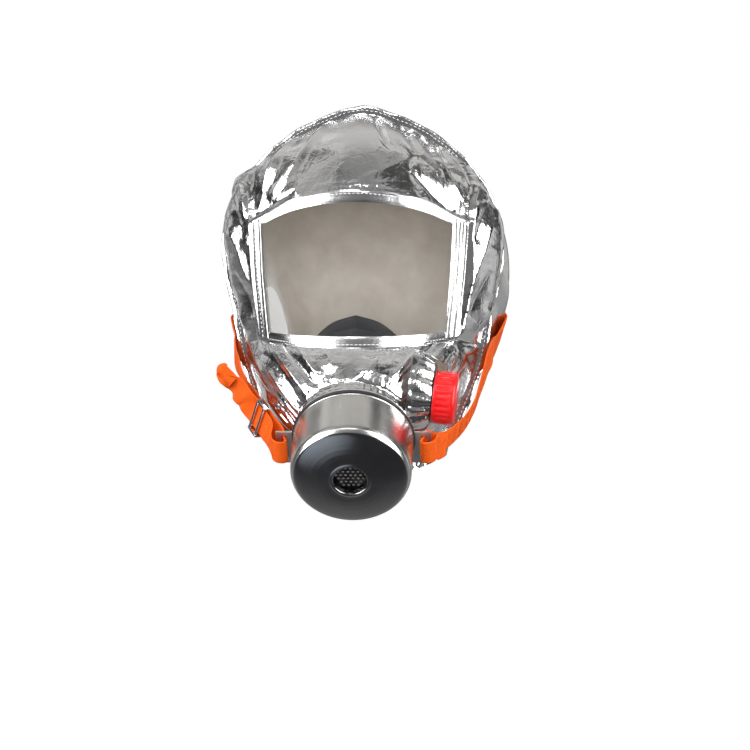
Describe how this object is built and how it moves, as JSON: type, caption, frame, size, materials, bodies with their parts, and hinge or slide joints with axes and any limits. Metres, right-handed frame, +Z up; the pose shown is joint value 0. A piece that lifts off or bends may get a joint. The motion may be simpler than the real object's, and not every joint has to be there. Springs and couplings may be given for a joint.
{
  "type": "smoke_hood",
  "caption": "Filtering smoke hood: aluminised film hood with a clear window, rubber half mask, screw-on filter canister, exhalation valve and adjustable head strap.",
  "frame": {"origin": "middle of the neck opening, where the hood closes round the wearer's neck", "axes": "+Z up, -Y the way the face looks, +X the wearer's left side"},
  "size_m": [0.2108, 0.3079, 0.2998],
  "materials": {
    "aluminised_film": "crinkled metallic film",
    "clear_film": "clear",
    "elastic": "covered",
    "black_rubber": "matte",
    "black_plastic": "satin",
    "polished_steel": "polished",
    "screen_steel": "dull",
    "filter_paper": "matte",
    "desiccant": "granular",
    "catalyst": "granular",
    "red_plastic": "gloss",
    "orange_webbing": "woven"
  },
  "bodies": {
    "root": {"brow_panel": "aluminised_film", "left_side_panel": "aluminised_film", "right_side_panel": "aluminised_film", "lower_face_panel": "aluminised_film", "rear_panel": "aluminised_film", "crown_seam": "aluminised_film", "visor_top_hem": "aluminised_film", "visor_bottom_hem": "aluminised_film", "visor_left_binding": "aluminised_film", "visor_right_binding": "aluminised_film", "neck_band": "aluminised_film", "clamp_ring": "aluminised_film", "visor_window": "clear_film", "neck_elastic": "elastic", "half_mask": "black_rubber", "mask_connector": "black_plastic", "connector_nut": "black_plastic", "inhalation_valve_seat": "black_plastic", "strap_ring": "polished_steel", "exhalation_valve_seat": "black_plastic", "head_strap": "orange_webbing"},
    "canister_seal": {"canister_gasket": "black_rubber"},
    "canister": {"canister_shell": "polished_steel", "canister_rear_cover": "black_plastic", "inlet_screen": "screen_steel", "dust_filter": "filter_paper", "filter_mesh": "screen_steel", "desiccant_bed": "desiccant", "catalyst_bed": "catalyst", "rear_screen": "screen_steel", "bed_spring": "polished_steel"},
    "exhalation_cap": {"exhalation_valve_cap": "red_plastic"},
    "exhalation_flap": {"exhalation_valve_disc": "black_rubber"},
    "inhalation_flap": {"inhalation_valve_disc": "black_rubber"},
    "buckle": {"strap_buckle": "polished_steel"}
  },
  "joints": [
    {"name": "canister_travel", "type": "slide", "parent": "root", "child": "canister_seal", "axis": [0, -0.7771, -0.6293], "range_m": [0, 0.0091]},
    {"name": "canister_turn", "type": "hinge", "parent": "canister_seal", "child": "canister", "pos_m": [0, -0.125, 0.008], "axis": [0, -0.7771, -0.6293], "range_deg": [0, 900]},
    {"name": "exhalation_cap_turn", "type": "hinge", "parent": "root", "child": "exhalation_cap", "pos_m": [0.066, -0.11, 0.0375], "axis": [0.9937, -0.0201, -0.1104], "range_deg": [0, 60]},
    {"name": "exhalation_flap_lift", "type": "slide", "parent": "root", "child": "exhalation_flap", "axis": [0.9937, -0.0201, -0.1104], "range_m": [0, 0.0015], "stiffness_N_per_m": 40, "springref_m": -0.001},
    {"name": "inhalation_flap_lift", "type": "slide", "parent": "root", "child": "inhalation_flap", "axis": [0, 0.7771, 0.6293], "range_m": [0, 0.0015], "stiffness_N_per_m": 40, "springref_m": -0.001},
    {"name": "buckle_slide", "type": "slide", "parent": "root", "child": "buckle", "axis": [-0.4637, 0.6777, 0.5707], "range_m": [-0.005, 0.003]}
  ],
  "couplings": [
    {"joint": "canister_travel", "follows": "canister_turn", "m_per_rad": 0.00057773}
  ]
}
